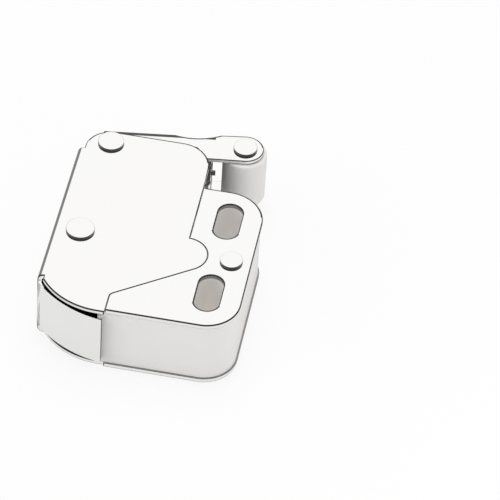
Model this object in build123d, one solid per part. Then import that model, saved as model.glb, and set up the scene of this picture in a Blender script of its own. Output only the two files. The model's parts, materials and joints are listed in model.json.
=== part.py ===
"""Push-to-open catch: a folded steel case with a screw lug, and a sprung roller arm.

Frame: the origin is midway between the two screw slots, on the face that is screwed down.
+Z stands off that face, +Y runs along the slots towards the arm, +X towards the lug's free edge.
Lengths are millimetres, angles degrees.
"""

import os
from math import atan2, cos, degrees, hypot, pi, radians, sin, sqrt, tan

from build123d import *

# ---- case ----
sheet = 0.9  # case and lug plate thickness
case_depth = 14.5  # over the two outer faces
case_width = 36.6  # from the folded web to the lug's free edge
case_height = 45.4  # from the lug's lower edge to the top edge
panel_set_in = 1.2  # panels stop this far inside the web's outer face where nothing is folded
panel_drop = 0.55  # the front panel's lower edge below the lug's lower edge
panel_lift = 0.35  # the back panel's lower edge above it
web_top_drop = 5.3  # the folded web ends this far below the top edge
web_foot = 5.9  # and this far above the lug's lower edge
bend_radius = 1.2  # outside radius of the case's folds
fold_flat = 0.4  # flat strip beside each of those bends
back_corner = 4.6
arm_corner = 5.8
heel_radius = 13.4  # large lower corner of the panels
heel_back = 10.95  # its centre, in from the panels' back edge

# ---- screw lug ----
lug_width = 12.15
lug_height = 34.5
lug_corner = 6.9
foot_corner = 6.3
slot_edge = 6.1  # slots' centre line to the lug's free edge
slot_rise = 8.25  # lower slot's centre above the lug's lower edge
slot_spacing = 18.6
slot_width = 4.5
slot_length = 8.9

# ---- seam between the front panel and the lug plate ----
seam_gap = 0.16
seam_back = 11.05  # the seam's lower end, behind its upper end
seam_slope = 35.4
seam_corner = 1.3
nose_radius = 4.03
nose_rise = 16.85  # nose centre above the lug's lower edge

# ---- tongue round the lower corner ----
tongue_width = 10.7
tongue_lead = 2.0  # its arc's centre, ahead of the seam's lower end
tongue_lap = 0.2  # its outer face meets the web's this far above the web's foot
tongue_proud = 0.45  # its tip below the panels' lower edge
tongue_gap = 0.4  # between the tongue's end and the seam's lower end

# ---- spacer block ----
wall_set_in = 0.3
block_back_gap = 0.3  # block's upright back face ahead of the seam's lower end
block_foot_back = 1.6  # its foot runs this far back from there, behind the tongue's end
block_foot_rise = 4.5  # top of the foot above the lug's lower edge
tongue_clear = 0.1  # foot to the tongue
block_top = 28.0  # top of the part under the front panel, above the lug's lower edge
block_corner = 1.0
block_link_gap = 0.4  # block to the follower link
leg_channel_width = 1.7
leg_channel_depth = 3.2
leg_channel_floor = 16.0  # above the lug's lower edge

# ---- rivets ----
rivet_fit = 0.03  # shank in its hole
head_height = 0.6
head_edge = 0.2
tail_height = 0.5
tail_edge = 0.25
dimple_radius = 0.95
dimple_depth = 1.3
dimple_edge = 0.12
pivot_head = 2.4
pivot_shank = 1.6
pivot_tail = 2.0
link_head = 2.6
link_shank = 1.5
link_tail = 2.0
lug_head = 2.05
lug_shank = 1.3
lug_tail = 1.75
axle_head = 2.2
axle_shank = 1.3
axle_tail = 1.9

# ---- rivet places ----
pivot_from_web = 5.65
pivot_from_top = 3.0
link_from_web = 5.0
link_below_pivot = 23.7
lug_rivet_edge = 3.7
lug_rivet_rise = 16.85

# ---- arm ----
arm_sheet = 0.8
arm_side_gap = 0.15  # between a flange and the case's panel
arm_reach = 24.8  # pivot to roller axle
arm_tilt = 12.0  # pivot-to-axle line above +X when locked
arm_tip_radius = 3.4
arm_hub_radius = 4.0
arm_bend = 1.0
arm_bend_inside = 0.4
web_rise_back = 4.85  # web's outer face above the pivot-to-axle line, at its back end
web_rise_end = 3.6  # and at the window
web_back = 1.3  # web's back end behind the pivot
window_length = 1.6  # open between the web's front end and the roller
waist_ahead = 14.0  # lowest flange depth, ahead of the pivot
waist_depth = 2.55
waist_blend = 2.0
scoop_length = 7.2  # pressed scoop in each fold beside the window
scoop_depth = 0.42
turn_fit = 0.05  # radial running clearance

# ---- roller ----
roller_radius = 4.1
roller_side_gap = 0.12
roller_edge = 0.5
bush_wall = 0.4

# ---- sleeves on the case rivets ----
pivot_sleeve_radius = 2.6
link_sleeve_radius = 2.3
end_play = 0.05

# ---- cam block ----
cam_side_gap = 0.12
cam_top = 6.6  # above the mounting face
cam_boss_clear = 0.2  # between the boss and the spring's coil above it
cam_hub_radius = 4.6
cam_boss_radius = 2.1
cam_front = 11.4  # solid part under the web, ahead of the pivot
track_width = 2.2
track_depth = 1.9
track_wall = 1.3
track_bulge = 3.0  # return track outside the main track
cam_sector_start = -99.0
cam_sector_end = -6.0

# ---- spring pin, bush and arm spring ----
spring_roller_gap = 2.07  # coil to roller
spring_pin_drop = 0.75
spring_pin_radius = 1.0
spring_bush_radius = 2.3
spring_wire = 1.0
spring_clear = 0.1  # coil over its bush
spring_set_in = 2.18  # top turn's centre, below the front panel's inside face
spring_pitch = 1.15
spring_turns = 5
spring_tip = 0.35  # leg's tip past the web's end
spring_leg_end = 17.5  # fixed leg's end above the lug's lower edge

# ---- follower ----
pin_orbit = 9.0  # follower pin from the arm's pivot when locked
pin_bearing = -25.0  # seen from the pivot, from the pivot-to-axle line
pin_radius = 0.9
pin_collar = 1.3
pin_collar_height = 0.3
pin_end_gap = 0.15
link_low = 6.8  # link's underside above the mounting face
link_sheet = 1.0
link_hub_radius = 3.0
link_end_radius = 2.0
tab_along = 10.0
tab_length = 3.0
tab_height = 1.2
tab_sheet = 0.8
follower_wire = 0.6
follower_clear = 0.15
follower_pitch = 0.72
follower_turns = 3
follower_leg_bearing = 130.0

# ---- motion ----
open_angle = 50.0  # arm swings out this far
press_angle = 8.0  # and this far in past its locked place
link_ratio = 0.1  # link's swing per degree of arm swing
path_steps = 10

# ---- places worked out from the sizes ----
lug_right = slot_edge
notch_x = lug_right - lug_width
seam_x = notch_x - seam_back
web_left = lug_right - case_width
panel_left = web_left + panel_set_in
bottom = -(slot_spacing / 2 + slot_rise)
panel_bottom = bottom - panel_drop
top = bottom + case_height
lug_top = bottom + lug_height
nose_y = bottom + nose_rise
tongue_end = seam_x - tongue_gap
inside_low = sheet
inside_high = case_depth - sheet
middle = case_depth / 2
pivot = (web_left + pivot_from_web, top - pivot_from_top)
link_pivot = (web_left + link_from_web, pivot[1] - link_below_pivot)
lug_rivet_place = (lug_right - lug_rivet_edge, bottom + lug_rivet_rise)
arm_low = inside_low + arm_side_gap
arm_high = inside_high - arm_side_gap
arm_frame = Pos(*pivot) * Rot(0, 0, arm_tilt)
fold_reach = bend_radius + fold_flat
coil_radius = spring_bush_radius + spring_clear + spring_wire / 2
coil_outside = coil_radius + spring_wire / 2
spring_pin_ahead = arm_reach - roller_radius - spring_roller_gap - coil_outside
web_end = arm_reach - roller_radius - window_length
web_slope = (web_rise_end - web_rise_back) / (web_end + web_back)
web_bearing = arm_tilt + degrees(atan2(web_slope, 1))
leg_bearing = 270.0
spring_height = spring_pitch * (spring_turns + (leg_bearing - web_bearing - 180) % 360 / 360)
spring_low = inside_high - spring_set_in - spring_height
cam_boss_top = spring_low - spring_wire / 2 - cam_boss_clear
follower_coil = link_sleeve_radius + follower_clear + follower_wire / 2


def outline(corners):
    """A flat face from (x, y, corner radius) corners."""
    points = [(x, y) for x, y, _ in corners]
    return make_face(FilletPolyline(*points, radius=[r for _, _, r in corners], close=True))


def slab(face, low, high):
    """A flat face made solid between two heights."""
    return Pos(0, 0, low) * extrude(face, high - low, dir=(0, 0, 1))


def rod(place, radius, low, high):
    """A round bar along Z."""
    return slab(Pos(*place) * Circle(radius), low, high)


def tube(place, radius, bore, low, high):
    """A spacer tube along Z."""
    return rod(place, radius, low, high) - rod(place, bore, low, high)


def in_arm(ahead, up):
    """A point of the arm's own frame, as a place in the catch's frame."""
    turn = radians(arm_tilt)
    x = pivot[0] + ahead * cos(turn) - up * sin(turn)
    y = pivot[1] + ahead * sin(turn) + up * cos(turn)
    return x, y


def web_rise(ahead):
    """Height of the arm web's outer face above the pivot-to-axle line."""
    return web_rise_back + web_slope * (ahead + web_back)


axle = in_arm(arm_reach, 0)
spring_pin_place = in_arm(spring_pin_ahead, -spring_pin_drop)


# ---- case: back panel, web, front panel and tongue in one folded sheet ----
def cut_heel(face, low):
    """Round the large lower corner, whose arc meets the back edge at an angle."""
    centre = Pos(panel_left + heel_back, low + heel_radius)
    size = 2 * heel_radius
    waste = Rectangle(size, size, align=(Align.MAX, Align.MAX)) - Circle(heel_radius)
    return face - centre * waste


def seam_point():
    """Where the sloping seam leaves the nose's arc."""
    slope = radians(seam_slope)
    return notch_x + nose_radius * sin(slope), nose_y - nose_radius * cos(slope)


def front_face():
    """Front panel, with the nose that runs into the lug plate."""
    tangent_x, tangent_y = seam_point()
    bend_y = tangent_y - (tangent_x - seam_x) * tan(radians(seam_slope))
    panel = outline([
        (panel_left, panel_bottom, 0),
        (seam_x, panel_bottom, 0),
        (seam_x, bend_y, seam_corner),
        (tangent_x, tangent_y, 0),
        (notch_x, nose_y, 0),
        (notch_x, top, arm_corner),
        (panel_left, top, back_corner),
    ])
    return cut_heel(panel, panel_bottom) + Pos(notch_x, nose_y) * Circle(nose_radius)


def lug_face(set_in=0.0):
    """The screw lug's outline back to the seam's lower end."""
    return outline([
        (seam_x, bottom + set_in, 0),
        (lug_right - set_in, bottom + set_in, foot_corner - set_in),
        (lug_right - set_in, lug_top - set_in, lug_corner - set_in),
        (seam_x, lug_top - set_in, 0),
    ])


def back_face():
    """Back panel: the whole outline, lug included."""
    low = bottom + panel_lift
    panel = outline([
        (panel_left, low, 0),
        (notch_x, low, 0),
        (notch_x, top, arm_corner),
        (panel_left, top, back_corner),
    ])
    return cut_heel(panel, low) + lug_face()


def screw_slots():
    """Both slots, as flat faces."""
    slot = Rot(0, 0, 90) * SlotOverall(slot_length, slot_width)
    return [Pos(0, side * slot_spacing / 2) * slot for side in (-1, 1)]


def fold():
    """The web and both folds, full height."""
    inner = bend_radius - sheet
    x_in, x_out = web_left + sheet, web_left + fold_reach
    skin = outline([
        (web_left, 0, bend_radius),
        (x_out, 0, 0),
        (x_out, case_depth, 0),
        (web_left, case_depth, bend_radius),
    ])
    room = outline([
        (x_in, inside_low, inner),
        (x_out, inside_low, 0),
        (x_out, inside_high, 0),
        (x_in, inside_high, inner),
    ])
    length = case_height - web_top_drop - web_foot
    profile = Plane.XZ * (skin - room)
    return Pos(0, bottom + web_foot, 0) * extrude(profile, length, dir=(0, 1, 0))


def tongue_arc():
    """Centre and radius of the tongue's outer face."""
    centre_x = seam_x + tongue_lead
    lowest = panel_bottom - tongue_proud
    run = centre_x - web_left
    rise = bottom + web_foot + tongue_lap - lowest
    radius = (run**2 + rise**2) / (2 * rise)
    return centre_x, lowest + radius, radius


def tongue():
    """The narrow strip that carries the web round the lower corner."""
    centre_x, centre_y, radius = tongue_arc()
    ring = Pos(centre_x, centre_y) * (Circle(radius) - Circle(radius - sheet))
    below = centre_y - 2 * radius
    keep = outline([
        (web_left, below, 0),
        (tongue_end, below, 0),
        (tongue_end, centre_y, 0),
        (web_left, bottom + case_height / 2, 0),
    ])
    return slab(ring & keep, middle - tongue_width / 2, middle + tongue_width / 2)


def make_case():
    """Fold, panels and tongue, with slots and rivet holes."""
    panels = slab(back_face(), 0, sheet) + slab(front_face(), inside_high, case_depth)
    fold_low = bottom + web_foot
    fold_high = top - web_top_drop
    clear_x = web_left + fold_reach
    strip = outline([
        (web_left, fold_low, 0),
        (clear_x, fold_low, 0),
        (clear_x, fold_high, 0),
        (web_left, fold_high, 0),
    ])
    body = panels - slab(strip, 0, case_depth) + fold() + tongue()
    for slot in screw_slots():
        body -= slab(slot, 0, sheet)
    body -= rod(pivot, pivot_shank + rivet_fit, 0, case_depth)
    body -= rod(link_pivot, link_shank + rivet_fit, 0, case_depth)
    body -= rod(lug_rivet_place, lug_shank + rivet_fit, 0, sheet)
    return body


def make_lug_plate():
    """Loose front plate over the lug, cut back from the front panel by the seam's gap."""
    face = lug_face() - offset(front_face(), seam_gap)
    for slot in screw_slots():
        face -= slot
    face -= Pos(*lug_rivet_place) * Circle(lug_shank + rivet_fit)
    return slab(face, inside_high, case_depth)


def block_foot(back):
    """Foot of the block that closes the gap behind the tongue's end."""
    centre_x, centre_y, radius = tongue_arc()
    low = bottom + wall_set_in
    high = bottom + block_foot_rise
    foot = outline([
        (back - block_foot_back, low, 0),
        (back, low, 0),
        (back, high, 0),
        (back - block_foot_back, high, 0),
    ])
    return foot & Pos(centre_x, centre_y) * Circle(radius - sheet - tongue_clear)


def make_spacer_block():
    """Moulded block between the plates, with slots and a channel for the spring's fixed leg."""
    back = seam_x + block_back_gap
    shoulder = bottom + block_top
    upper_back = notch_x + seam_gap
    face = outline([
        (back, bottom + wall_set_in, 0),
        (lug_right - wall_set_in, bottom + wall_set_in, foot_corner - wall_set_in),
        (lug_right - wall_set_in, lug_top - wall_set_in, lug_corner - wall_set_in),
        (upper_back, lug_top - wall_set_in, 0),
        (upper_back, shoulder, 0),
        (back, shoulder, block_corner),
    ])
    face += block_foot(back)
    for slot in screw_slots():
        face -= slot
    face -= Pos(*lug_rivet_place) * Circle(lug_shank + rivet_fit)
    for opened in (-press_angle, open_angle):
        face -= link_place(opened) * offset(link_face(), block_link_gap)
    block = slab(face, inside_low, inside_high)
    leg_x = spring_pin_place[0] - coil_radius
    floor = bottom + leg_channel_floor
    channel = Pos(leg_x, floor) * Rectangle(
        leg_channel_width, shoulder - floor, align=(Align.CENTER, Align.MIN)
    )
    return block - slab(channel, inside_high - leg_channel_depth, inside_high)


# ---- rivets ----
def make_rivet(place, low, high, head, shank, tail):
    """Round head above, rolled and dimpled tail below."""
    tail_low = low - tail_height
    profile = outline([
        (0, tail_low + dimple_depth, 0),
        (dimple_radius, tail_low + dimple_depth, 0),
        (dimple_radius, tail_low, dimple_edge),
        (tail, tail_low, tail_edge),
        (tail, low, 0),
        (shank, low, 0),
        (shank, high, 0),
        (head, high, 0),
        (head, high + head_height, head_edge),
        (0, high + head_height, 0),
    ])
    return Pos(*place) * revolve(Plane.XZ * profile, Axis.Z)


# ---- arm ----
def flange_face():
    """Side of the arm, in the arm's own frame."""
    plate = outline([
        (-web_back, web_rise(-web_back), 0),
        (web_end, web_rise(web_end), 0),
        (arm_reach, arm_tip_radius, 0),
        (arm_reach, -arm_tip_radius, 0),
        (waist_ahead, -waist_depth, waist_blend),
        (0, -arm_hub_radius, 0),
        (-arm_hub_radius, 0, 0),
    ])
    return plate + Circle(arm_hub_radius) + Pos(arm_reach, 0) * Circle(arm_tip_radius)


def channel_section(drop):
    """U section across the arm, web up, centred on its own middle line."""
    half = (arm_high - arm_low) / 2
    skin = outline([
        (-half, 0, arm_bend),
        (half, 0, arm_bend),
        (half, -drop, 0),
        (-half, -drop, 0),
    ])
    room = outline([
        (arm_sheet - half, -arm_sheet, arm_bend_inside),
        (half - arm_sheet, -arm_sheet, arm_bend_inside),
        (half - arm_sheet, -drop, 0),
        (arm_sheet - half, -drop, 0),
    ])
    return skin - room


def folded_channel():
    """The folded part of the arm: section swept along the sloping web."""
    drop = web_rise_back + arm_hub_radius + 2 * arm_bend
    start = Plane(
        origin=(-web_back, web_rise(-web_back), middle),
        x_dir=(0, 0, 1),
        z_dir=(-1, 0, 0),
    )
    length = hypot(1, web_slope) * (web_end + web_back)
    run = extrude(start * channel_section(drop), length, dir=(1, web_slope, 0))
    window = outline([
        (-2 * arm_hub_radius, -2 * arm_hub_radius, 0),
        (web_end, -2 * arm_hub_radius, 0),
        (web_end, 2 * arm_hub_radius, 0),
        (-2 * arm_hub_radius, 2 * arm_hub_radius, 0),
    ])
    return run & slab(flange_face() & window, arm_low, arm_high)


def scoop(side):
    """Shallow pressed hollow across one fold, beside the window."""
    cutter_radius = scoop_length**2 / (8 * scoop_depth)
    at = web_end - scoop_length / 2
    corner_z = arm_high if side > 0 else arm_low
    skin = arm_bend * (1 - 1 / sqrt(2))
    touch = (at, web_rise(at) - skin, corner_z - side * skin)
    out = Vector(-web_slope, 1, side).normalized()
    centre = Vector(*touch) + out * (cutter_radius - scoop_depth)
    along = Vector(1, web_slope, 0).cross(out)
    return Plane(origin=centre, z_dir=along) * Cylinder(cutter_radius, 4 * arm_bend)


def make_arm():
    """Channel with two long flange ends for the roller."""
    front_part = flange_face() - Pos(web_end, 0) * Rectangle(
        2 * arm_reach, 4 * arm_hub_radius, align=(Align.MAX, Align.CENTER)
    )
    arm = folded_channel()
    arm += slab(front_part, arm_low, arm_low + arm_sheet)
    arm += slab(front_part, arm_high - arm_sheet, arm_high)
    arm -= rod((0, 0), pivot_sleeve_radius + turn_fit, arm_low, arm_high)
    arm -= rod((arm_reach, 0), axle_shank + rivet_fit, arm_low, arm_high)
    arm -= rod((spring_pin_ahead, -spring_pin_drop), spring_pin_radius, arm_low, arm_high)
    for side in (-1, 1):
        arm -= scoop(side)
    return arm_frame * arm


def make_roller():
    """Moulded roller with eased ends."""
    low = arm_low + arm_sheet + roller_side_gap
    high = arm_high - arm_sheet - roller_side_gap
    bore = axle_shank + bush_wall + turn_fit
    profile = outline([
        (bore, low, 0),
        (roller_radius, low, roller_edge),
        (roller_radius, high, roller_edge),
        (bore, high, 0),
    ])
    return Pos(*axle) * revolve(Plane.XZ * profile, Axis.Z)


# ---- cam block and its track ----
def pin_in_arm(opened):
    """Follower pin's centre in the arm's own frame, with the arm opened by some degrees."""
    start = in_arm(pin_orbit * cos(radians(pin_bearing)), pin_orbit * sin(radians(pin_bearing)))
    reach_x, reach_y = start[0] - link_pivot[0], start[1] - link_pivot[1]
    swing = radians(link_ratio * opened)
    x = link_pivot[0] + reach_x * cos(swing) - reach_y * sin(swing) - pivot[0]
    y = link_pivot[1] + reach_x * sin(swing) + reach_y * cos(swing) - pivot[1]
    turn = radians(arm_tilt + opened)
    return x * cos(turn) + y * sin(turn), y * cos(turn) - x * sin(turn)


def track_points(bulge):
    """Centres of the track from pressed to open, pushed out from the pivot by the bulge."""
    points = []
    for step in range(path_steps + 1):
        share = step / path_steps
        x, y = pin_in_arm(share * (open_angle + press_angle) - press_angle)
        grow = 1 + bulge * sin(pi * share) / hypot(x, y)
        points.append((x * grow, y * grow))
    return points


def band(centres, half_width):
    """A face of even width along a row of centres, with round ends."""
    left = []
    right = []
    befores = centres[:1] + centres[:-1]
    afters = centres[1:] + centres[-1:]
    for before, here, after in zip(befores, centres, afters):
        run_x, run_y = after[0] - before[0], after[1] - before[1]
        side = half_width / hypot(run_x, run_y)
        left.append((here[0] - run_y * side, here[1] + run_x * side))
        right.append((here[0] + run_y * side, here[1] - run_x * side))
    edges = [
        Spline(*left),
        Line(left[-1], right[-1]),
        Spline(*right[::-1]),
        Line(right[0], left[0]),
    ]
    ends = [Pos(*centre) * Circle(half_width) for centre in (centres[0], centres[-1])]
    return make_face(edges) + ends


def sector_face(radius, start, end):
    """A pie slice about the pivot between two bearings."""
    reach = 2 * radius
    spread = [start + (end - start) * share / 3 for share in range(4)]
    rays = [(reach * cos(radians(a)), reach * sin(radians(a)), 0) for a in spread]
    return Circle(radius) & outline([(0, 0, 0)] + rays)


def under_web_face(gap):
    """Everything at least a gap below the arm web's outer face."""
    reach = arm_reach
    return outline([
        (-reach, -reach, 0),
        (reach, -reach, 0),
        (reach, web_rise(reach) - gap, 0),
        (-reach, web_rise(-reach) - gap, 0),
    ])


def make_cam_block():
    """Moulded block under the arm's web, with the heart-shaped track in its face."""
    low = arm_low + arm_sheet + cam_side_gap
    widest = max(hypot(x, y) for x, y in track_points(track_bulge))
    sector_radius = widest + track_width / 2 + track_wall
    under_web = arm_sheet + cam_side_gap
    cheek = outline([
        (0, web_rise(0) - under_web, 0),
        (0, 0, 0),
        (cam_front, sin(radians(cam_sector_end)) * cam_front, 0),
        (cam_front, web_rise(cam_front) - under_web, 0),
    ])
    face = cheek + sector_face(sector_radius, cam_sector_start, cam_sector_end)
    face += Circle(cam_hub_radius) & under_web_face(under_web)
    face -= Pos(spring_pin_ahead, -spring_pin_drop) * Circle(coil_radius + spring_wire)
    strap = outline([
        (0, web_rise(0) - under_web, 0),
        (0, -cam_boss_radius, 0),
        (spring_pin_ahead, -spring_pin_drop - cam_boss_radius, 0),
        (spring_pin_ahead, -spring_pin_drop + cam_boss_radius, 0),
    ])
    boss = Pos(spring_pin_ahead, -spring_pin_drop) * Circle(cam_boss_radius)
    block = slab(face, low, cam_top) + slab(strap + boss, low, cam_boss_top)
    for bulge in (0, track_bulge):
        block -= slab(band(track_points(bulge), track_width / 2), cam_top - track_depth, cam_top)
    block -= rod((0, 0), pivot_sleeve_radius + turn_fit, low, cam_top)
    block -= rod((spring_pin_ahead, -spring_pin_drop), spring_pin_radius, low, cam_boss_top)
    return arm_frame * block


# ---- follower: link and its pin ----
def link_bearing():
    """Bearing of the link from its rivet to its pin, and the distance."""
    x, y = in_arm(pin_orbit * cos(radians(pin_bearing)), pin_orbit * sin(radians(pin_bearing)))
    run_x, run_y = x - link_pivot[0], y - link_pivot[1]
    return degrees(atan2(run_y, run_x)), hypot(run_x, run_y)


def link_place(opened):
    """Where the link lies, with the arm opened by some degrees."""
    bearing, _ = link_bearing()
    return Pos(*link_pivot) * Rot(0, 0, bearing + link_ratio * opened)


def link_face():
    """The link's outline in its own frame, without its holes."""
    _, length = link_bearing()
    end = Pos(length, 0) * Circle(link_end_radius)
    return make_hull(Circle(link_hub_radius).edges() + end.edges())


def make_link():
    """Tapered steel link with an upturned tab for the light spring's leg."""
    _, length = link_bearing()
    face = link_face() - Circle(link_shank + turn_fit)
    face -= Pos(length, 0) * Circle(pin_radius + rivet_fit)
    link_top = link_low + link_sheet
    tab_face = follower_coil - follower_wire / 2 - end_play
    tab = Pos(tab_along, tab_face) * Rectangle(
        tab_length, tab_sheet, align=(Align.CENTER, Align.MAX)
    )
    link = slab(face, link_low, link_top) + slab(tab, link_low, link_top + tab_height)
    return link_place(0) * link


def make_follower_pin():
    """Pin riveted in the link's end, with a collar under the link and a head above."""
    _, length = link_bearing()
    link_top = link_low + link_sheet
    place = (length, 0)
    pin = rod(place, pin_radius, cam_top - track_depth + pin_end_gap, link_top)
    pin += rod(place, pin_collar, link_top, link_top + pin_collar_height)
    return link_place(0) * pin


# ---- springs ----
def make_spring(centre, radius, wire, pitch, turns, low, leg_bearings, leg_lengths):
    """Torsion spring wound up +Z, with a straight leg at each end.

    The lower leg leaves on the first bearing, the upper leg on the second.
    """
    start = leg_bearings[0] + 90
    rest = (leg_bearings[1] - 90 - start) % 360
    height = pitch * (turns + rest / 360)
    coil = Pos(*centre, low) * Rot(0, 0, start) * Helix(pitch, height, radius)
    tips = []
    for end, bearing, length in zip((coil @ 0, coil @ 1), leg_bearings, leg_lengths):
        heading = Vector(cos(radians(bearing)), sin(radians(bearing)), 0)
        tips.append(end + heading * length)
    path = Wire([Line(tips[0], coil @ 0).edge(), coil.edge(), Line(coil @ 1, tips[1]).edge()])
    return sweep(Plane(origin=path @ 0, z_dir=path % 0) * Circle(wire / 2), path)


def make_arm_spring():
    """Strong spring: one leg under the arm's web, the other in the block's channel."""
    up_leg = web_end + spring_tip - spring_pin_ahead
    down_leg = spring_pin_place[1] - bottom - spring_leg_end
    return make_spring(
        spring_pin_place,
        coil_radius,
        spring_wire,
        spring_pitch,
        spring_turns,
        spring_low,
        (web_bearing, leg_bearing),
        (up_leg, down_leg),
    )


def make_follower_spring():
    """Light spring round the link's front sleeve, from the link's tab to the case's web."""
    bearing, _ = link_bearing()
    tab_leg = tab_along + tab_length / 2
    return make_spring(
        link_pivot,
        follower_coil,
        follower_wire,
        follower_pitch,
        follower_turns,
        link_low + link_sheet + end_play + follower_wire / 2,
        (bearing, follower_leg_bearing),
        (tab_leg, web_leg_length()),
    )


def web_leg_length():
    """Length of the light spring's upper leg, up to the inside of the case's web."""
    start = radians(follower_leg_bearing - 90)
    gap = link_pivot[0] + follower_coil * cos(start) - (web_left + sheet)
    heading = radians(follower_leg_bearing)
    return (gap - end_play - follower_wire / 2 * sin(heading)) / -cos(heading)


# ---- all pieces ----
def make_pieces():
    """Every separate piece of the catch, by name."""
    link_top = link_low + link_sheet
    pivot_bore = pivot_shank + rivet_fit
    link_bore = link_shank + rivet_fit
    bush_low = arm_low + arm_sheet
    bush_high = arm_high - arm_sheet
    axle_bush = axle_shank + bush_wall
    return {
        "case": make_case(),
        "lug_plate": make_lug_plate(),
        "spacer_block": make_spacer_block(),
        "pivot_rivet": make_rivet(pivot, 0, case_depth, pivot_head, pivot_shank, pivot_tail),
        "link_rivet": make_rivet(link_pivot, 0, case_depth, link_head, link_shank, link_tail),
        "lug_rivet": make_rivet(lug_rivet_place, 0, case_depth, lug_head, lug_shank, lug_tail),
        "pivot_sleeve": tube(pivot, pivot_sleeve_radius, pivot_bore, inside_low, inside_high),
        "link_sleeve_back": tube(
            link_pivot, link_sleeve_radius, link_bore, inside_low, link_low - end_play
        ),
        "link_sleeve_front": tube(
            link_pivot, link_sleeve_radius, link_bore, link_top + end_play, inside_high
        ),
        "arm": make_arm(),
        "roller": make_roller(),
        "roller_axle": make_rivet(axle, arm_low, arm_high, axle_head, axle_shank, axle_tail),
        "roller_bush": tube(axle, axle_bush, axle_shank + rivet_fit, bush_low, bush_high),
        "cam_block": make_cam_block(),
        "spring_pin": rod(spring_pin_place, spring_pin_radius, arm_low, arm_high),
        "spring_bush": tube(
            spring_pin_place,
            spring_bush_radius,
            spring_pin_radius + rivet_fit,
            cam_boss_top,
            arm_high - arm_sheet,
        ),
        "arm_spring": make_arm_spring(),
        "follower_link": make_link(),
        "follower_pin": make_follower_pin(),
        "follower_spring": make_follower_spring(),
    }


os.makedirs("parts", exist_ok=True)
for name, piece in make_pieces().items():
    export_step(piece, f"parts/{name}.step")
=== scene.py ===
# %% [markdown]
# # A push-to-open catch
# A small cabinet catch: a folded steel case with a screw lug, a white nylon block between
# its plates, and a sprung channel arm that carries a white roller. The imported model gives
# every piece its size and place. This script gives each piece its finish, eases the edges
# that a press or a mould leaves, and copies the springs from the model.
#
# The first cell loads that model. Every length below is in metres, in the model's own frame:
# the origin lies between the two screw slots, +Z stands off the back panel.

# %% Load the imported model
import json
from math import cos, radians, sin

import bmesh
import bpy
from mathutils import Matrix, Vector
from mathutils.bvhtree import BVHTree

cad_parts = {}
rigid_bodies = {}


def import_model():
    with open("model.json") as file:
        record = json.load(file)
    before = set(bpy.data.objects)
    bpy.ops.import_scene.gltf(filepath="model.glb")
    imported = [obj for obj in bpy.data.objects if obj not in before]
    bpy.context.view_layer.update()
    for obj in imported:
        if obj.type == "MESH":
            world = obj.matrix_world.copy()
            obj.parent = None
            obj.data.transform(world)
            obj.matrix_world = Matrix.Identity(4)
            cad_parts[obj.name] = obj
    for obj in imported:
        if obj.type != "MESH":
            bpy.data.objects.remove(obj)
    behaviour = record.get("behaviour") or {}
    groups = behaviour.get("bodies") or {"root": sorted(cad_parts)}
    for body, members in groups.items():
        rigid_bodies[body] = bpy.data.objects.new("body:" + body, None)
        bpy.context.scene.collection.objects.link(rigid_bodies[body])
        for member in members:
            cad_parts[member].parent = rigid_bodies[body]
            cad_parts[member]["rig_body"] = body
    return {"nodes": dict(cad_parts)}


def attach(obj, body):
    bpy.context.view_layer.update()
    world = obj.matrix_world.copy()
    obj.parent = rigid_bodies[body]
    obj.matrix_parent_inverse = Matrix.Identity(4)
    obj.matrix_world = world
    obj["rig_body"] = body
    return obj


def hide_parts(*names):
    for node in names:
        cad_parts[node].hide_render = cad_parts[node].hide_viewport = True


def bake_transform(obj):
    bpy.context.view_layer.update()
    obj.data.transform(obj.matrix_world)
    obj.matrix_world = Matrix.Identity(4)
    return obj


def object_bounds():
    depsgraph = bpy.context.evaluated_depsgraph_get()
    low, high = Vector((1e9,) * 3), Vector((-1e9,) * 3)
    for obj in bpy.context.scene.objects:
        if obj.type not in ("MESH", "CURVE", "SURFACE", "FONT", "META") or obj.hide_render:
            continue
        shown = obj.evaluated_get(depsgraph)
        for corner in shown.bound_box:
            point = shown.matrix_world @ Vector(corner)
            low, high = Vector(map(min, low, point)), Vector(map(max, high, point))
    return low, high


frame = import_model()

MM = 0.001
cad_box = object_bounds()
print("nodes:", ", ".join(sorted(frame["nodes"])))

# %% [markdown]
# ## Camera
# A long lens keeps the plates' edges almost parallel. The camera is placed by where it looks
# from, as an azimuth and an elevation about a point on the middle plane of the catch, and
# then turned a little about its own line of sight.

# %% Camera
TARGET = Vector((4.127, 10.485, 7.0)) * MM
AZIMUTH = 7.586
ELEVATION = 44.439
ROLL = 3.886
DISTANCE = 650.66 * MM
LENS = 257.65


def look_from(azimuth, elevation):
    """Unit vector from the target to a camera at that azimuth and elevation in degrees."""
    turn, rise = radians(azimuth), radians(elevation)
    return Vector((sin(turn) * cos(rise), -cos(turn) * cos(rise), sin(rise)))


def make_camera():
    """A camera that looks at the target."""
    data = bpy.data.cameras.new("camera")
    data.lens = LENS
    data.sensor_width = 36
    data.clip_start = 0.01
    data.clip_end = 50
    camera = bpy.data.objects.new("camera", data)
    bpy.context.scene.collection.objects.link(camera)
    towards = look_from(AZIMUTH, ELEVATION)
    aim = towards.to_track_quat("Z", "Y").to_matrix().to_4x4()
    roll = Matrix.Rotation(radians(ROLL), 4, "Z")
    camera.matrix_world = Matrix.Translation(TARGET + towards * DISTANCE) @ aim @ roll
    bpy.context.scene.camera = camera
    return camera


camera = make_camera()
print("camera at", [round(v / MM, 1) for v in camera.matrix_world.translation], "mm")

# %% [markdown]
# ## Two small tools for materials
# A material is a graph of nodes. Written out one by one, the arithmetic in it is hard to
# read, so a small class wraps a socket and turns `+`, `-` and `*` into Math nodes. Every
# other node comes from one method that takes its type, its settings and its inputs.


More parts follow.
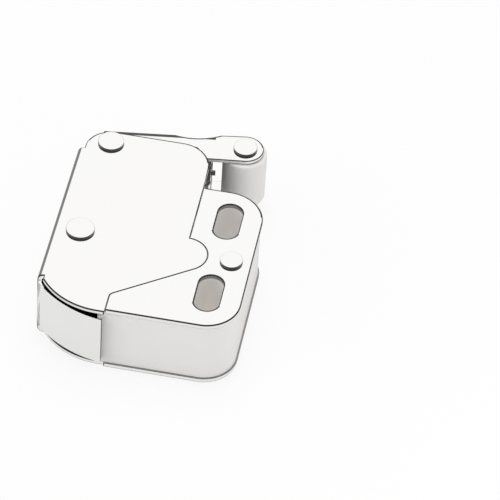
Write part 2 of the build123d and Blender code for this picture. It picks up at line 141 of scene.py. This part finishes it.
# %% Node tools
class Number:
    """A number socket in a node tree, with arithmetic."""

    def __init__(self, graph, socket):
        self.graph = graph
        self.socket = socket

    def _math(self, operation, first, second):
        node = self.graph.node("ShaderNodeMath", {"operation": operation}, {0: first, 1: second})
        return Number(self.graph, node.outputs[0])

    def __add__(self, other):
        return self._math("ADD", self, other)

    def __sub__(self, other):
        return self._math("SUBTRACT", self, other)

    def __mul__(self, other):
        return self._math("MULTIPLY", self, other)

    def __radd__(self, other):
        return self._math("ADD", other, self)

    def __rsub__(self, other):
        return self._math("SUBTRACT", other, self)

    def __rmul__(self, other):
        return self._math("MULTIPLY", other, self)

    def at_most(self, other):
        return self._math("MINIMUM", self, other)

    def at_least(self, other):
        return self._math("MAXIMUM", self, other)


class Graph:
    """A node tree that is filled by code."""

    def __init__(self, tree):
        self.tree = tree
        tree.nodes.clear()

    def node(self, kind, settings=None, inputs=None):
        """A node of that type, with its settings made first and then its inputs."""
        made = self.tree.nodes.new(kind)
        for name, value in (settings or {}).items():
            setattr(made, name, value)
        for name, value in (inputs or {}).items():
            if isinstance(value, Number):
                value = value.socket
            if isinstance(value, bpy.types.NodeSocket):
                self.tree.links.new(value, made.inputs[name])
            else:
                made.inputs[name].default_value = value
        return made

    def number(self, kind, settings=None, inputs=None, output=0):
        """The same, for a node whose output is a number."""
        return Number(self, self.node(kind, settings, inputs).outputs[output])

    def place(self, stretch=(1, 1, 1)):
        """Object coordinates, scaled along each axis."""
        spot = self.node("ShaderNodeTexCoord").outputs["Object"]
        return self.node("ShaderNodeMapping", {}, {"Vector": spot, "Scale": stretch}).outputs[0]

    def speckle(self, spot, scale, detail=2.0, roughness=0.5):
        """Smooth noise from 0 to 1 at that many features to the metre."""
        return self.number(
            "ShaderNodeTexNoise",
            {"noise_dimensions": "3D"},
            {"Vector": spot, "Scale": scale, "Detail": detail, "Roughness": roughness},
        )

    def blend(self, share, first, second):
        """A colour between two colours."""
        mix = self.node(
            "ShaderNodeMix",
            {"data_type": "RGBA", "clamp_factor": True},
            {"Factor": share, 6: first, 7: second},
        )
        return mix.outputs[2]

    def bump(self, height, depth):
        """A normal from a height of 0 to 1, which stands for that depth in metres."""
        return self.node(
            "ShaderNodeBump",
            {},
            {"Height": height, "Distance": depth, "Strength": 1.0},
        ).outputs[0]


def new_finish(name):
    """An empty material and its graph."""
    material = bpy.data.materials.new(name)
    material.use_nodes = True
    return material, Graph(material.node_tree)


def surface(graph, sockets):
    """Ends a material in one Principled shader."""
    shader = graph.node("ShaderNodeBsdfPrincipled", {}, sockets)
    graph.node("ShaderNodeOutputMaterial", {}, {"Surface": shader.outputs[0]})


def grey(level, warmth=0.0):
    """A near-neutral colour, warmer where warmth is above 0."""
    return (level * (1 + warmth), level, level * (1 - warmth), 1)


# %% [markdown]
# ## Studio
# The catch lies on a pale table under a wide white sky. Polished metal shows what stands
# round it, so a grey cloth lies in a ring round the catch and turns up at its outer edge.
# Only reflections see it: the round bends of the folded sheet pick it up as soft dark
# bands. The table is pushed towards white where the eye or a reflection sees it, and keeps
# part of the soft shadow under the catch.

# %% Studio
TABLE_LEVEL = cad_box[0].z
SKY_LEVEL = 0.36
SKY_RISE = 0.5
TABLE_MATT = 0.9
TABLE_WHITE = 0.85
TABLE_IN_MIRRORS = 0.80
CLOTH_LEVEL = 0.5
CLOTH_INNER = 45 * MM
CLOTH_OUTER = 150 * MM
CLOTH_HEIGHT = 70 * MM
FADE_FROM = 0.45  # share of its height
FADE_OVER = 0.5


def ray_kind(graph, kind):
    """1 for rays of that kind, 0 for the rest."""
    return Number(graph, graph.node("ShaderNodeLightPath").outputs[kind])


def seen_directly(graph):
    """1 for the camera, for reflections and for transmission, 0 for other light."""
    eye = ray_kind(graph, "Is Camera Ray")
    mirror = ray_kind(graph, "Is Glossy Ray")
    through = ray_kind(graph, "Is Transmission Ray")
    return (eye + mirror + through).at_most(1.0)


def make_world():
    """White to look at; as a source of light, a little stronger from above."""
    world = bpy.data.worlds.new("sky")
    world.use_nodes = True
    graph = Graph(world.node_tree)
    towards = graph.node("ShaderNodeTexCoord").outputs["Generated"]
    up = graph.number("ShaderNodeSeparateXYZ", {}, {"Vector": towards}, output=2)
    level = SKY_LEVEL + SKY_RISE * up.at_least(0.0)
    dome = graph.node("ShaderNodeCombineColor", {}, {0: level, 1: level, 2: level}).outputs[0]
    colour = graph.blend(seen_directly(graph), dome, grey(1.0))
    light = graph.node("ShaderNodeBackground", {}, {"Color": colour, "Strength": 1.0})
    graph.node("ShaderNodeOutputWorld", {}, {"Surface": light.outputs[0]})
    bpy.context.scene.world = world


def stage_piece(name, shape, material):
    """A bmesh as a piece of the studio, not of the catch."""
    mesh = bpy.data.meshes.new(name)
    shape.to_mesh(mesh)
    shape.free()
    mesh.materials.append(material)
    piece = bpy.data.objects.new(name, mesh)
    bpy.context.scene.collection.objects.link(piece)
    return piece


def make_table():
    """A wide pale floor, level with the rivet tails that the catch lies on."""
    material, graph = new_finish("table_white")
    matt = graph.node("ShaderNodeBsdfDiffuse", {}, {"Color": grey(TABLE_MATT)}).outputs[0]
    shade = graph.blend(ray_kind(graph, "Is Glossy Ray"), grey(1.0), grey(TABLE_IN_MIRRORS))
    white = graph.node("ShaderNodeEmission", {}, {"Color": shade, "Strength": 1.0}).outputs[0]
    share = TABLE_WHITE * seen_directly(graph)
    mix = graph.node("ShaderNodeMixShader", {}, {0: share, 1: matt, 2: white})
    graph.node("ShaderNodeOutputMaterial", {}, {"Surface": mix.outputs[0]})
    shape = bmesh.new()
    bmesh.ops.create_grid(shape, x_segments=1, y_segments=1, size=6.0)
    bmesh.ops.translate(shape, verts=shape.verts, vec=(0, 0, TABLE_LEVEL))
    stage_piece("table", shape, material)


def make_lamp(name, azimuth, elevation, distance, size, power):
    """A soft square lamp that points at the catch."""
    data = bpy.data.lights.new(name, "AREA")
    data.size = size
    data.energy = power
    lamp = bpy.data.objects.new(name, data)
    bpy.context.scene.collection.objects.link(lamp)
    towards = look_from(azimuth, elevation)
    aim = towards.to_track_quat("Z", "Y").to_matrix().to_4x4()
    lamp.matrix_world = Matrix.Translation(TARGET + towards * distance) @ aim
    lamp.visible_glossy = False


def make_cloth():
    """A grey ring on the table that turns up, fades to white, and is seen only in reflections."""
    material, graph = new_finish("cloth_grey")
    spot = graph.node("ShaderNodeTexCoord").outputs["Object"]
    height = graph.number("ShaderNodeSeparateXYZ", {}, {"Vector": spot}, output=2)
    above = height - FADE_FROM * CLOTH_HEIGHT
    fade = (above * (1.0 / (FADE_OVER * CLOTH_HEIGHT))).at_least(0.0).at_most(1.0)
    shade = graph.blend(fade, grey(CLOTH_LEVEL), grey(1.0))
    glow = graph.node("ShaderNodeEmission", {}, {"Color": shade, "Strength": 1.0})
    graph.node("ShaderNodeOutputMaterial", {}, {"Surface": glow.outputs[0]})
    shape = bmesh.new()
    low = TABLE_LEVEL + 0.5 * MM
    outline = [(CLOTH_INNER, 0, low), (CLOTH_OUTER, 0, low), (CLOTH_OUTER, 0, CLOTH_HEIGHT)]
    verts = [shape.verts.new(point) for point in outline]
    edges = [shape.edges.new(pair) for pair in zip(verts, verts[1:])]
    bmesh.ops.spin(
        shape,
        geom=verts + edges,
        cent=(0, 0, 0),
        axis=(0, 0, 1),
        angle=radians(360),
        steps=96,
        use_merge=True,
    )
    cloth = stage_piece("cloth", shape, material)
    cloth.visible_camera = False
    cloth.visible_diffuse = False
    cloth.visible_shadow = False
    cloth.visible_transmission = False


bpy.context.scene.view_settings.view_transform = "Standard"
make_world()
make_table()
make_cloth()
make_lamp("overhead_lamp", azimuth=200, elevation=70, distance=1.0, size=0.8, power=3.0)
make_lamp("right_lamp", azimuth=60, elevation=20, distance=0.16, size=0.06, power=0.029)
make_lamp("left_lamp", azimuth=-64, elevation=22, distance=1.0, size=0.45, power=1.9)

# %% [markdown]
# ## Finishes
# The sheet is bright nickel plate: a metal whose colour is almost white, with faint waves
# from the rolling mill that only show where a dark thing is reflected. Its rounded edges and
# folds get darker plate colours, a painted reflection of the dark surroundings they mirror,
# and the hollow inside the case gets a near-black plate colour, a painted shadow.
#
# Textures are given as features to the metre.

# %% Bright plate, and darker plates for painted shade on its edges, folds and inside
MILL_WAVES = 260.0
SHEET_GRAIN = 900.0
GRAIN_STRETCH = (1, 14, 1)
SHEET_STAINS = 90.0


def metal_plate(name, level, roughness, wave_depth):
    """Nickel plate on cold-rolled sheet, with waves of that depth in millimetres."""
    material, graph = new_finish(name)
    spot = graph.place()
    waves = graph.speckle(spot, MILL_WAVES, detail=1.0)
    grain = graph.speckle(graph.place(GRAIN_STRETCH), SHEET_GRAIN, detail=3.0)
    stain = graph.speckle(spot, SHEET_STAINS, detail=3.0)
    colour = graph.blend(stain, grey(level, 0.004), grey(level * 0.985, 0.010))
    surface(graph, {
        "Base Color": colour,
        "Metallic": 1.0,
        "Roughness": roughness + 0.05 * grain + 0.02 * stain,
        "Normal": graph.bump(waves, wave_depth * MM),
    })
    return material


plate = metal_plate("bright_plate", 0.955, 0.05, 0.004)
rivet_plate = metal_plate("rivet_plate", 0.95, 0.07, 0.002)
# Near black: painted reflection and shade on rounded edges, rims and rivet flanks.
painted_edge_shade = metal_plate("painted_edge_shade", 0.045, 0.18, 0.002)
# Mid grey: painted shade on the case's folds, on the inner ledges beside the block and on the
# lug's slot walls.
painted_half_shade = metal_plate("painted_half_shade_plate", 0.36, 0.12, 0.004)
# Dark: painted reflection on the outer side of the arm's folds and on its rims.
folded = metal_plate("painted_fold_shade_plate", 0.09, 0.12, 0.004)
# Near black: painted shadow in the hollow inside the case behind the block.
painted_cavity_shade = metal_plate("painted_cavity_shade_plate", 0.05, 0.35, 0.004)


# %% [markdown]
# The block, the roller and the cam are moulded in white nylon: a slightly warm white with a
# satin skin, a fine texture from the mould and a faint milky variation.

# %% White nylon
NYLON_MILK = 130.0
NYLON_SKIN = 5200.0
SKIN_DEPTH = 0.006 * MM
# Heights of the painted glow in the slots: full below the first, none above the second.
PAINTED_GLOW_LOW = 4.0 * MM
PAINTED_GLOW_HIGH = 14.5 * MM


def white_nylon(name, painted_glow=0.0):
    """Moulded nylon with a satin skin, and a painted glow that grows deeper in a hole, standing
    in for light that reaches the bottom of the slots.
    """
    material, graph = new_finish(name)
    spot = graph.place()
    milk = graph.speckle(spot, NYLON_MILK, detail=2.0)
    skin = graph.speckle(spot, NYLON_SKIN, detail=2.0)
    height = graph.number("ShaderNodeSeparateXYZ", {}, {"Vector": spot}, output=2)
    # Painted light: the glow grows towards the bottom of a hole.
    depth = (1.0 - (height - PAINTED_GLOW_LOW) * (1.0 / (PAINTED_GLOW_HIGH - PAINTED_GLOW_LOW))).at_least(0.0).at_most(1.0)
    surface(graph, {
        "Base Color": graph.blend(milk, grey(0.89, 0.018), grey(0.86, 0.024)),
        "Roughness": 0.38 + 0.10 * skin,
        "Normal": graph.bump(skin, SKIN_DEPTH),
        "Emission Color": graph.blend(depth, grey(0.0), grey(painted_glow, 0.06)),
        "Emission Strength": 1.0,
    })
    return material


nylon = white_nylon("white_nylon")
# The block's slot walls, with painted light deep in the holes.
slot_nylon_painted_glow = white_nylon("slot_nylon_painted_glow", painted_glow=0.09)


# %% [markdown]
# Sleeves, pins and the follower link are plain steel with turning marks, and the springs are
# drawn wire, darker and a little oily.

# %% Plain steel and spring wire
MARK_STRETCH = (1, 1, 12)
STEEL_STAINS = 300.0
MARK_DEPTH = 0.003 * MM


def plain_steel(name, level, roughness, rings):
    """Steel with fine marks that run round Z."""
    material, graph = new_finish(name)
    marks = graph.speckle(graph.place(MARK_STRETCH), rings, detail=3.0)
    stain = graph.speckle(graph.place(), STEEL_STAINS, detail=3.0)
    surface(graph, {
        "Base Color": graph.blend(stain, grey(level, 0.01), grey(level * 0.82, 0.02)),
        "Metallic": 1.0,
        "Roughness": roughness + 0.12 * marks,
        "Normal": graph.bump(marks, MARK_DEPTH),
    })
    return material


steel = plain_steel("plain_steel", 0.60, 0.22, 600.0)
wire = plain_steel("spring_wire", 0.34, 0.25, 900.0)
print("finishes:", len(bpy.data.materials))

# %% [markdown]
# ## Eased copies
# Sheet metal is never sharp: the die rolls one edge over and leaves a fine burr on the
# other. The model's own mesh has knife edges and loose triangles, so a copy of it is merged
# and its flat triangles are joined into whole faces. Each outside corner then gets a weight
# for a Bevel modifier: a full one in the open, and a small one where another piece lies
# against it, as at the seam. The bevel gets a near-black colour, a painted reflection of the
# dark surroundings that a round edge mirrors. A Weighted Normal modifier keeps the large
# faces flat to the eye.
#
# Where a front face ends towards +Y, a narrow band of that face is painted dark, a painted
# reflection that widens the dark line along the rounded edge. The tongue round the lower corner
# keeps plain, bright edges.

# %% Measures for the eased copies
SHORTEST_EDGE = 0.08 * MM
CLOSE = 0.4 * MM
CLOSE_WEIGHT = 0.3
LEAST_ANGLE = radians(32)
MOST_ANGLE = radians(150)
TURNED_AWAY = 0.25  # share of +Y in the way a rim faces

# Places in the model's frame, in millimetres.
FRONT_LEVEL = 12.7
BACK_LEVEL = 1.2
INSIDE = (0.85, 13.65)
MIDDLE = 7.25
BLOCK_BACK = -17.3
TONGUE_HALF_WIDTH = 5.4
TONGUE_TOP = -11.4
SLOT_REACH = 2.4
SLOT_ENDS = (4.7, 13.9)


# %% Eased copies
def merged(node, cut_at=None):
    """A CAD node's mesh as a closed bmesh with whole flat faces.

    The flat faces of the back panel are cut at one X if asked.
    """
    shape = bmesh.new()
    shape.from_mesh(frame["nodes"][node].data)
    for face in shape.faces:
        face.material_index = 0
        face.smooth = True
    bmesh.ops.remove_doubles(shape, verts=shape.verts, dist=0.001 * MM)
    bmesh.ops.dissolve_limit(
        shape, angle_limit=radians(0.3), verts=shape.verts, edges=shape.edges
    )
    if cut_at is not None:
        back = [
            face
            for face in shape.faces
            if abs(face.normal.z) > 0.9 and face.calc_center_median().z < BACK_LEVEL * MM
        ]
        edges = dict.fromkeys(edge for face in back for edge in face.edges)
        verts = dict.fromkeys(vert for face in back for vert in face.verts)
        bmesh.ops.bisect_plane(
            shape,
            geom=[*back, *edges, *verts],
            dist=1e-7,
            plane_co=(cut_at * MM, 0, 0),
            plane_no=(1, 0, 0),
        )
    return shape


def is_front(face):
    """True for a face of the front panels."""
    return face.normal.z > 0.9999 and face.calc_center_median().z > FRONT_LEVEL * MM


def painted_rim_shade(shape, width, finish):
    """Paints a narrow band of the front face dark where its edge turns away, a painted
    reflection.
    """
    fronts = [face for face in shape.faces if is_front(face)]
    made = bmesh.ops.inset_region(
        shape, faces=fronts, thickness=width * MM, use_even_offset=True, use_boundary=True
    )
    for face in made["faces"]:
        centre = face.calc_center_median()
        face.smooth = False
        face.material_index = 0
        for edge in face.edges:
            within = all(is_front(other) for other in edge.link_faces)
            if within or edge.calc_length() < SHORTEST_EDGE:
                continue
            away = ((edge.verts[0].co + edge.verts[1].co) / 2 - centre).normalized()
            if away.y > TURNED_AWAY:
                face.material_index = finish


def settle(shape, name, materials, node):
    """Turns a finished bmesh into a piece that stands for a CAD node."""
    mesh = bpy.data.meshes.new(name)
    shape.to_mesh(mesh)
    shape.free()
    for material in materials:
        mesh.materials.append(material)
    piece = bpy.data.objects.new(name, mesh)
    bpy.context.scene.collection.objects.link(piece)
    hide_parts(node)
    return piece


def weigh_edges(shape, neighbours, sharp):
    """Gives each outside corner its bevel weight, and returns how many there are.

    An edge that passes the test called sharp gets none. A painted rim beside another piece is
    undone.
    """
    weights = shape.edges.layers.float.new("bevel_weight_edge")
    trees = [BVHTree.FromBMesh(merged(node)) for node in neighbours]
    count = 0
    for edge in shape.edges:
        if not edge.is_manifold or not edge.is_convex or edge.calc_length() < SHORTEST_EDGE:
            continue
        if not LEAST_ANGLE < edge.calc_face_angle() < MOST_ANGLE:
            continue
        middle = (edge.verts[0].co + edge.verts[1].co) / 2
        if sharp(middle / MM):
            edge.smooth = False
            continue
        near = any(tree.find_nearest(middle, CLOSE)[0] is not None for tree in trees)
        edge[weights] = CLOSE_WEIGHT if near else 1.0
        for face in edge.link_faces:
            if near and is_front(face):
                face.material_index = 0
        count += 1
    return count


def never(_):
    """The test that nothing passes."""
    return False


def always_first(_):
    """Every face takes the piece's first finish."""
    return 0


def eased_copy(
    node,
    name,
    materials,
    width,
    neighbours=(),
    finish=1,
    chosen=always_first,
    sharp=never,
    cut_at=None,
    rim=None,
):
    """A CAD node with its edges eased and a finish chosen for each face.

    A rim is its width in millimetres and the place of its finish in the list.
    """
    shape = merged(node, cut_at)
    for face in shape.faces:
        face.material_index = chosen(face)
    if rim:
        painted_rim_shade(shape, *rim)
    count = weigh_edges(shape, neighbours, sharp)
    piece = settle(shape, name, materials, node)
    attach(piece, frame["nodes"][node]["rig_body"])
    ease = piece.modifiers.new("eased_edges", "BEVEL")
    ease.limit_method = "WEIGHT"
    ease.offset_type = "OFFSET"
    ease.width = width * MM
    ease.segments = 3
    ease.profile = 0.5
    ease.use_clamp_overlap = False
    ease.loop_slide = False
    # Bevel faces take this finish; on the sheets it is the near-black painted reflection.
    ease.material = finish
    smooth = piece.modifiers.new("even_normals", "WEIGHTED_NORMAL")
    smooth.mode = "FACE_AREA"
    smooth.weight = 100
    smooth.keep_sharp = True
    print(name, "eased edges:", count)


def on_tongue(spot):
    """True for a place on the narrow tongue round the lower corner."""
    return abs(spot.z - MIDDLE) < TONGUE_HALF_WIDTH and spot.y < TONGUE_TOP


def case_finish(face):
    """Painted shade: near black inside behind the block, mid grey on the inner ledges beside it
    and round the folds.
    """
    spot = face.calc_center_median() / MM
    inside = INSIDE[0] < spot.z < INSIDE[1]
    level = abs(face.normal.z) > 0.9
    if inside and level and on_tongue(spot):
        return 0
    # Inner faces take painted shade: a painted shadow behind the block, a lighter painted shade
    # beside it.
    if inside and (level or face.normal.x > 0.3):
        return 2 if spot.x < BLOCK_BACK else 3
    # Outward folds take the mid-grey painted reflection of dark surroundings.
    folded = face.normal.x < -0.45 and abs(face.normal.z) > 0.1
    return 3 if folded else 0


def arm_finish(face):
    """Painted reflection: dark on the outer side of the arm's two tight folds, which mirror dark
    surroundings.
    """
    return 2 if face.normal.y > 0.01 and 0.1 < abs(face.normal.z) < 0.9998 else 0


def slot_finish(face):
    """The second finish on the walls of the two screw slots: painted shade on the plate, a
    painted glow on the nylon.
    """
    spot = face.calc_center_median() / MM
    within = abs(spot.x) < SLOT_REACH and SLOT_ENDS[0] < abs(spot.y) < SLOT_ENDS[1]
    return int(within and abs(face.normal.z) < 0.1)


# %% The folded sheets and the mouldings
eased_copy(
    "case",
    "case_sheet",
    [plate, painted_edge_shade, painted_cavity_shade, painted_half_shade],
    0.2,
    ["lug_plate", "spacer_block"],
    chosen=case_finish,
    sharp=on_tongue,
    cut_at=BLOCK_BACK,
    rim=(0.34, 1),
)
eased_copy(
    "lug_plate",
    "lug_sheet",
    [plate, painted_half_shade, painted_edge_shade],
    0.21,
    ["case", "spacer_block"],
    finish=2,
    chosen=slot_finish,
    rim=(0.36, 2),
)
eased_copy(
    "arm",
    "arm_channel",
    [plate, painted_edge_shade, folded],
    0.15,
    chosen=arm_finish,
    rim=(0.3, 2),
)
eased_copy(
    "spacer_block",
    "nylon_block",
    [nylon, slot_nylon_painted_glow],
    0.08,
    finish=-1,
    chosen=slot_finish,
)
eased_copy("cam_block", "cam", [nylon], 0.12, finish=-1)

# %% [markdown]
# ## Rivets
# A rivet is bright on its head and painted dark round its flank, a painted shade for the
# shadow and dark surroundings it meets. The flank's own reflection in the plate doubles the
# dark crescent below it.

# %% Rivets
STEEPEST = 0.35

for node in ("pivot_rivet", "link_rivet", "lug_rivet", "roller_axle"):
    shape = merged(node)
    # Steep faces of the flank take the near-black finish, a painted shade.
    for face in shape.faces:
        face.material_index = int(abs(face.normal.z) < STEEPEST)
    name = node.replace("rivet", "stud")
    rivet = settle(shape, name, [rivet_plate, painted_edge_shade], node)
    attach(rivet, frame["nodes"][node]["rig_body"])

# %% [markdown]
# ## Springs
# The arm spring's coil turns with the arm, but its lower leg is held in a channel of the nylon
# block. The follower spring is wound round the link's rivet: its low leg pushes the link and
# its high leg rests on the case. Here both springs are merged copies of the model's springs in
# the wire finish, with their placing baked into the mesh.

shape = merged("arm_spring")
wound_wire = settle(shape, "wound_wire", [wire], "arm_spring")
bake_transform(wound_wire)

shape = merged("follower_spring")
light_wire = settle(shape, "light_wire", [wire], "follower_spring")
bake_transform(light_wire)

# %% Finishes of the nodes that stay
for node, finish in {
    "roller": nylon,
    "spring_bush": nylon,
    "pivot_sleeve": steel,
    "link_sleeve_back": steel,
    "link_sleeve_front": steel,
    "roller_bush": steel,
    "spring_pin": steel,
    "follower_link": steel,
    "follower_pin": steel,
}.items():
    frame["nodes"][node].material_slots[0].material = finish

# %% Final update of the view layer
bpy.context.view_layer.update()
